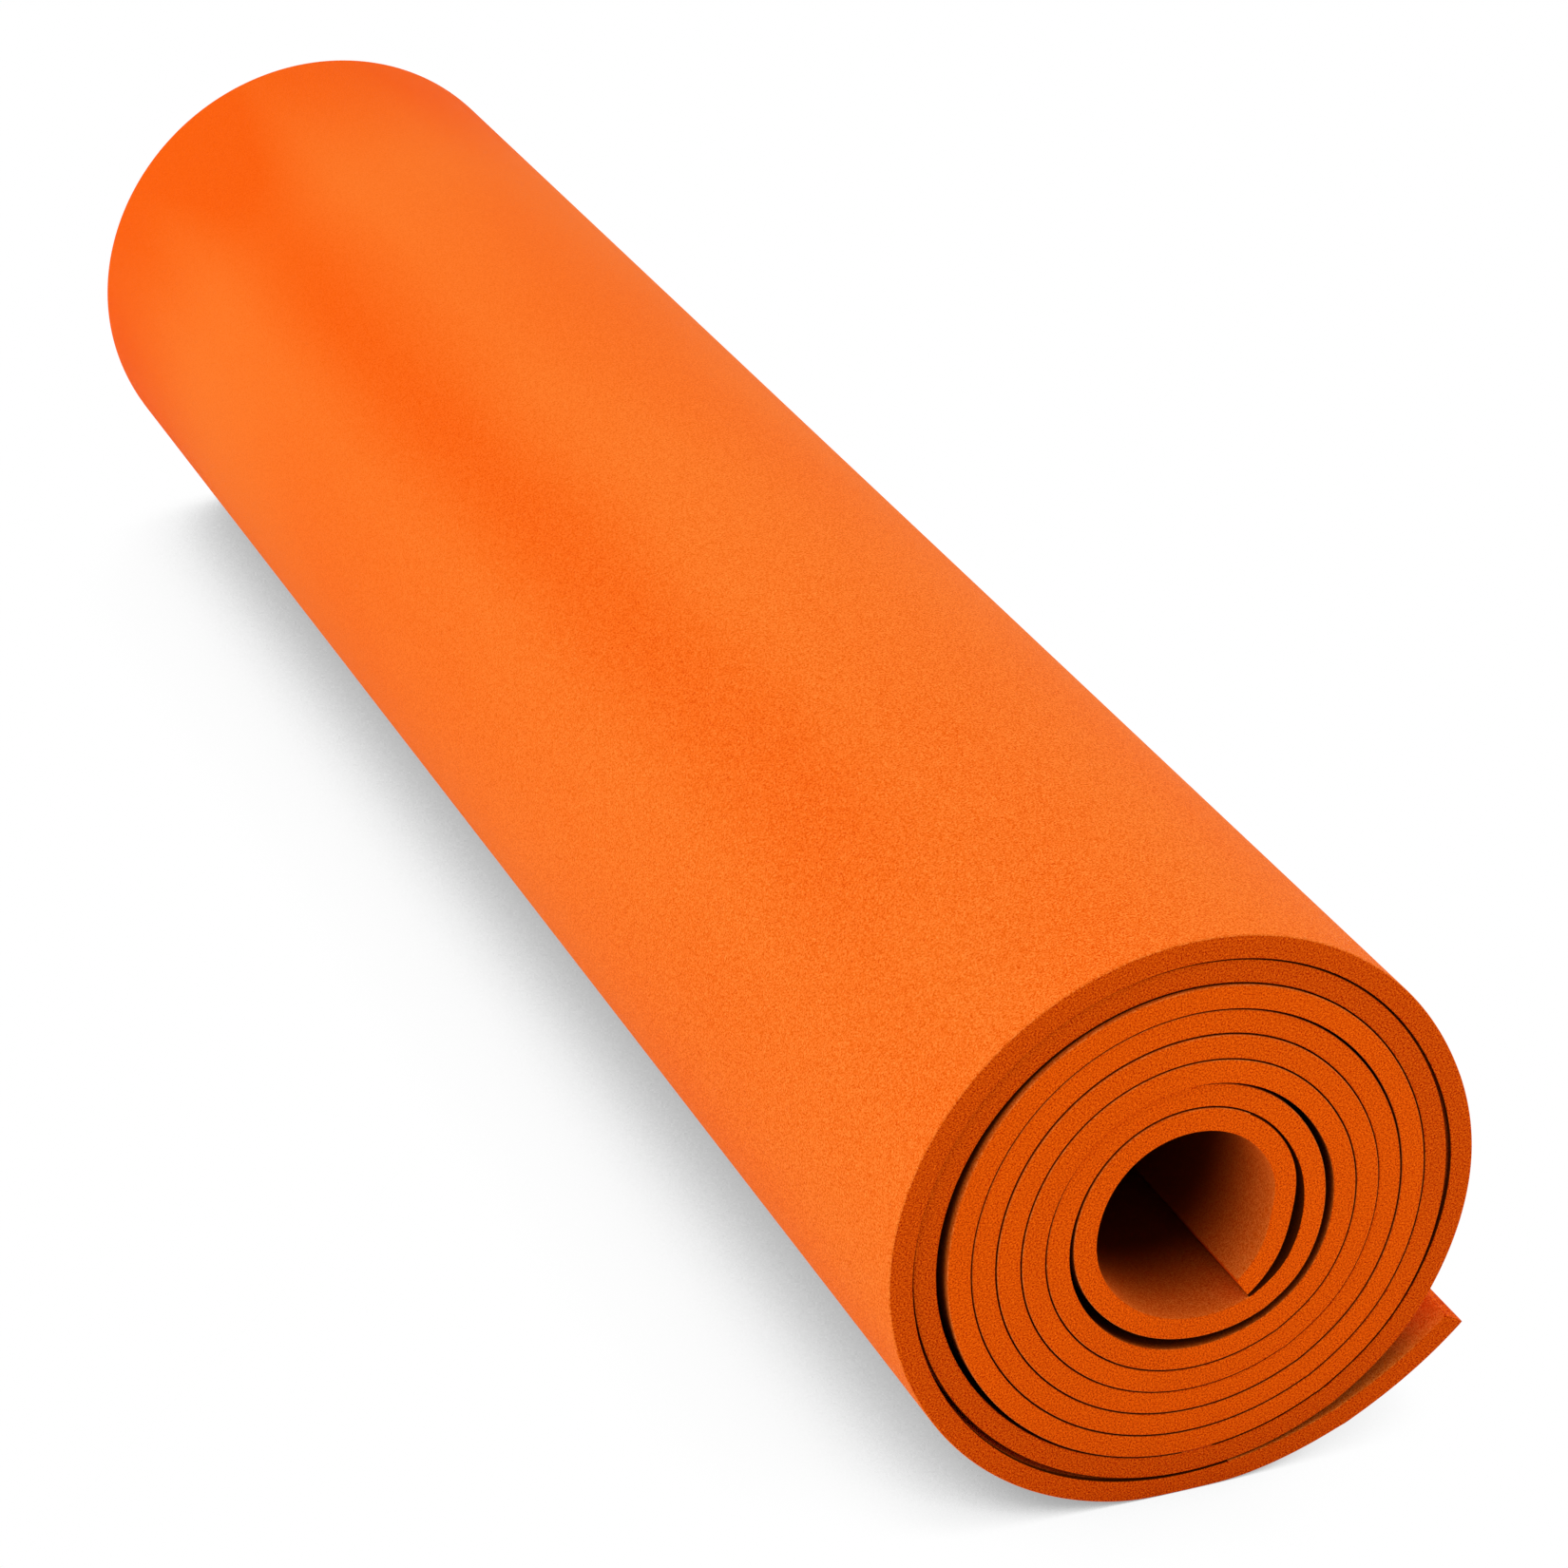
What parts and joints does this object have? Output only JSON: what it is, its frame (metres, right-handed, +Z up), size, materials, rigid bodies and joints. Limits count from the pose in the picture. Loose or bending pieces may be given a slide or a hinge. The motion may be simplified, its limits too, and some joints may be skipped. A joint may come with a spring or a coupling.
{
  "type": "foam sleeping pad",
  "caption": "Closed-cell foam sleeping pad rolled up on its side, with a loose outer end, an open bore and an outer turn that unrolls flat on the floor.",
  "frame": {"origin": "on the floor under the middle of the roll's box", "axes": "+Y along the roll's axis away from the pictured end, +X to the right seen from that end, +Z up"},
  "size_m": [0.1104, 0.5, 0.1095],
  "materials": {
    "foam": "matt closed-cell foam with a fine grain"
  },
  "bodies": {
    "wound_core": {"wound_core": "foam"},
    "outer_turn_01": {"outer_turn_01": "foam"},
    "outer_turn_02": {"outer_turn_02": "foam"},
    "outer_turn_03": {"outer_turn_03": "foam"},
    "outer_turn_04": {"outer_turn_04": "foam"},
    "outer_turn_05": {"outer_turn_05": "foam"},
    "outer_turn_06": {"outer_turn_06": "foam"},
    "outer_turn_07": {"outer_turn_07": "foam"},
    "outer_turn_08": {"outer_turn_08": "foam"},
    "outer_turn_09": {"outer_turn_09": "foam"},
    "outer_turn_10": {"outer_turn_10": "foam"},
    "outer_turn_11": {"outer_turn_11": "foam"},
    "outer_turn_12": {"outer_turn_12": "foam"},
    "outer_turn_13": {"outer_turn_13": "foam"},
    "outer_turn_14": {"outer_turn_14": "foam"},
    "outer_turn_15": {"outer_turn_15": "foam"},
    "outer_turn_16": {"outer_turn_16": "foam"},
    "outer_turn_17": {"outer_turn_17": "foam"},
    "outer_turn_18": {"outer_turn_18": "foam"},
    "outer_turn_19": {"outer_turn_19": "foam"},
    "outer_turn_20": {"outer_turn_20": "foam"},
    "outer_turn_21": {"outer_turn_21": "foam"},
    "outer_turn_22": {"outer_turn_22": "foam"},
    "outer_turn_23": {"outer_turn_23": "foam"},
    "floor_panel": {"floor_panel": "foam"},
    "loose_end_1": {"loose_end_1": "foam"},
    "loose_end_2": {"loose_end_2": "foam"},
    "loose_end_3": {"loose_end_3": "foam"},
    "inner_end_1": {"inner_end_1": "foam"},
    "inner_end_2": {"inner_end_2": "foam"}
  },
  "joints": [
    {"name": "unroll", "type": "hinge", "parent": "wound_core", "child": "outer_turn_01", "pos_m": [0.00762, 0, 0.00421], "axis": [0, 1, 0], "range_deg": [0, 13.39]},
    {"name": "unroll_02", "type": "hinge", "parent": "outer_turn_01", "child": "outer_turn_02", "pos_m": [0.02082, 0, 0.00723], "axis": [0, 1, 0], "range_deg": [0, 14.23]},
    {"name": "unroll_03", "type": "hinge", "parent": "outer_turn_02", "child": "outer_turn_03", "pos_m": [0.03299, 0, 0.01352], "axis": [0, 1, 0], "range_deg": [0, 15.59]},
    {"name": "unroll_04", "type": "hinge", "parent": "outer_turn_03", "child": "outer_turn_04", "pos_m": [0.04314, 0, 0.02294], "axis": [0, 1, 0], "range_deg": [0, 16.38]},
    {"name": "unroll_05", "type": "hinge", "parent": "outer_turn_04", "child": "outer_turn_05", "pos_m": [0.05038, 0, 0.03486], "axis": [0, 1, 0], "range_deg": [0, 14.29]},
    {"name": "unroll_06", "type": "hinge", "parent": "outer_turn_05", "child": "outer_turn_06", "pos_m": [0.05441, 0, 0.04831], "axis": [0, 1, 0], "range_deg": [0, 16.28]},
    {"name": "unroll_07", "type": "hinge", "parent": "outer_turn_06", "child": "outer_turn_07", "pos_m": [0.05455, 0, 0.06242], "axis": [0, 1, 0], "range_deg": [0, 16.76]},
    {"name": "unroll_08", "type": "hinge", "parent": "outer_turn_07", "child": "outer_turn_08", "pos_m": [0.05066, 0, 0.07597], "axis": [0, 1, 0], "range_deg": [0, 13.88]},
    {"name": "unroll_09", "type": "hinge", "parent": "outer_turn_08", "child": "outer_turn_09", "pos_m": [0.04361, 0, 0.08814], "axis": [0, 1, 0], "range_deg": [0, 14.23]},
    {"name": "unroll_10", "type": "hinge", "parent": "outer_turn_09", "child": "outer_turn_10", "pos_m": [0.03378, 0, 0.09822], "axis": [0, 1, 0], "range_deg": [0, 15.43]},
    {"name": "unroll_11", "type": "hinge", "parent": "outer_turn_10", "child": "outer_turn_11", "pos_m": [0.02159, 0, 0.10535], "axis": [0, 1, 0], "range_deg": [0, 15.24]},
    {"name": "unroll_12", "type": "hinge", "parent": "outer_turn_11", "child": "outer_turn_12", "pos_m": [0.00795, 0, 0.10903], "axis": [0, 1, 0], "range_deg": [0, 14.92]},
    {"name": "unroll_13", "type": "hinge", "parent": "outer_turn_12", "child": "outer_turn_13", "pos_m": [-0.00618, 0, 0.10906], "axis": [0, 1, 0], "range_deg": [0, 14.64]},
    {"name": "unroll_14", "type": "hinge", "parent": "outer_turn_13", "child": "outer_turn_14", "pos_m": [-0.01989, 0, 0.10551], "axis": [0, 1, 0], "range_deg": [0, 14.36]},
    {"name": "unroll_15", "type": "hinge", "parent": "outer_turn_14", "child": "outer_turn_15", "pos_m": [-0.03232, 0, 0.09864], "axis": [0, 1, 0], "range_deg": [0, 14.45]},
    {"name": "unroll_16", "type": "hinge", "parent": "outer_turn_15", "child": "outer_turn_16", "pos_m": [-0.0427, 0, 0.0888], "axis": [0, 1, 0], "range_deg": [0, 14.52]},
    {"name": "unroll_17", "type": "hinge", "parent": "outer_turn_16", "child": "outer_turn_17", "pos_m": [-0.05033, 0, 0.07657], "axis": [0, 1, 0], "range_deg": [0, 15.01]},
    {"name": "unroll_18", "type": "hinge", "parent": "outer_turn_17", "child": "outer_turn_18", "pos_m": [-0.05457, 0, 0.06266], "axis": [0, 1, 0], "range_deg": [0, 15.77]},
    {"name": "unroll_19", "type": "hinge", "parent": "outer_turn_18", "child": "outer_turn_19", "pos_m": [-0.05488, 0, 0.04802], "axis": [0, 1, 0], "range_deg": [0, 15.96]},
    {"name": "unroll_20", "type": "hinge", "parent": "outer_turn_19", "child": "outer_turn_20", "pos_m": [-0.05116, 0, 0.0338], "axis": [0, 1, 0], "range_deg": [0, 15.18]},
    {"name": "unroll_21", "type": "hinge", "parent": "outer_turn_20", "child": "outer_turn_21", "pos_m": [-0.04383, 0, 0.02105], "axis": [0, 1, 0], "range_deg": [0, 15.26]},
    {"name": "unroll_22", "type": "hinge", "parent": "outer_turn_21", "child": "outer_turn_22", "pos_m": [-0.0334, 0, 0.01067], "axis": [0, 1, 0], "range_deg": [0, 15.87]},
    {"name": "unroll_23", "type": "hinge", "parent": "outer_turn_22", "child": "outer_turn_23", "pos_m": [-0.02058, 0, 0.00354], "axis": [0, 1, 0], "range_deg": [0, 15.02]},
    {"name": "unroll_floor", "type": "hinge", "parent": "outer_turn_23", "child": "floor_panel", "pos_m": [-0.00641, 0, 0], "axis": [0, 1, 0], "range_deg": [0, 13.57]},
    {"name": "loose_end_bend", "type": "hinge", "parent": "floor_panel", "child": "loose_end_1", "pos_m": [0.0082, 0, 0], "axis": [0, 1, 0], "range_deg": [-2, 12.6], "stiffness_Nm_per_rad": 0.1},
    {"name": "loose_end_bend_2", "type": "hinge", "parent": "loose_end_1", "child": "loose_end_2", "pos_m": [0.02474, 0, 0.00341], "axis": [0, 1, 0], "range_deg": [-1.96, 12.36], "stiffness_Nm_per_rad": 0.1},
    {"name": "loose_end_bend_3", "type": "hinge", "parent": "loose_end_2", "child": "loose_end_3", "pos_m": [0.04063, 0, 0.01096], "axis": [0, 1, 0], "range_deg": [-2.14, 13.51], "stiffness_Nm_per_rad": 0.1},
    {"name": "inner_end_bend", "type": "hinge", "parent": "wound_core", "child": "inner_end_1", "pos_m": [0.015, 0, 0.06453], "axis": [0, 1, 0], "range_deg": [0, 20], "stiffness_Nm_per_rad": 0.04},
    {"name": "inner_end_bend_2", "type": "hinge", "parent": "inner_end_1", "child": "inner_end_2", "pos_m": [0.01615, 0, 0.05211], "axis": [0, 1, 0], "range_deg": [0, 20], "stiffness_Nm_per_rad": 0.04}
  ],
  "couplings": [
    {"joint": "unroll_02", "follows": "unroll", "ratio": 1.062},
    {"joint": "unroll_03", "follows": "unroll", "ratio": 1.1643},
    {"joint": "unroll_04", "follows": "unroll", "ratio": 1.2233},
    {"joint": "unroll_05", "follows": "unroll", "ratio": 1.0665},
    {"joint": "unroll_06", "follows": "unroll", "ratio": 1.2158},
    {"joint": "unroll_07", "follows": "unroll", "ratio": 1.2517},
    {"joint": "unroll_08", "follows": "unroll", "ratio": 1.0366},
    {"joint": "unroll_09", "follows": "unroll", "ratio": 1.062},
    {"joint": "unroll_10", "follows": "unroll", "ratio": 1.1516},
    {"joint": "unroll_11", "follows": "unroll", "ratio": 1.1374},
    {"joint": "unroll_12", "follows": "unroll", "ratio": 1.1135},
    {"joint": "unroll_13", "follows": "unroll", "ratio": 1.0926},
    {"joint": "unroll_14", "follows": "unroll", "ratio": 1.0717},
    {"joint": "unroll_15", "follows": "unroll", "ratio": 1.0792},
    {"joint": "unroll_16", "follows": "unroll", "ratio": 1.0844},
    {"joint": "unroll_17", "follows": "unroll", "ratio": 1.1202},
    {"joint": "unroll_18", "follows": "unroll", "ratio": 1.177},
    {"joint": "unroll_19", "follows": "unroll", "ratio": 1.1919},
    {"joint": "unroll_20", "follows": "unroll", "ratio": 1.1337},
    {"joint": "unroll_21", "follows": "unroll", "ratio": 1.1389},
    {"joint": "unroll_22", "follows": "unroll", "ratio": 1.1852},
    {"joint": "unroll_23", "follows": "unroll", "ratio": 1.1217},
    {"joint": "unroll_floor", "follows": "unroll", "ratio": 1.0134},
    {"joint": "loose_end_bend_2", "follows": "loose_end_bend", "ratio": 0.98095},
    {"joint": "loose_end_bend_3", "follows": "loose_end_bend", "ratio": 1.0714},
    {"joint": "inner_end_bend_2", "follows": "inner_end_bend", "ratio": 1}
  ]
}
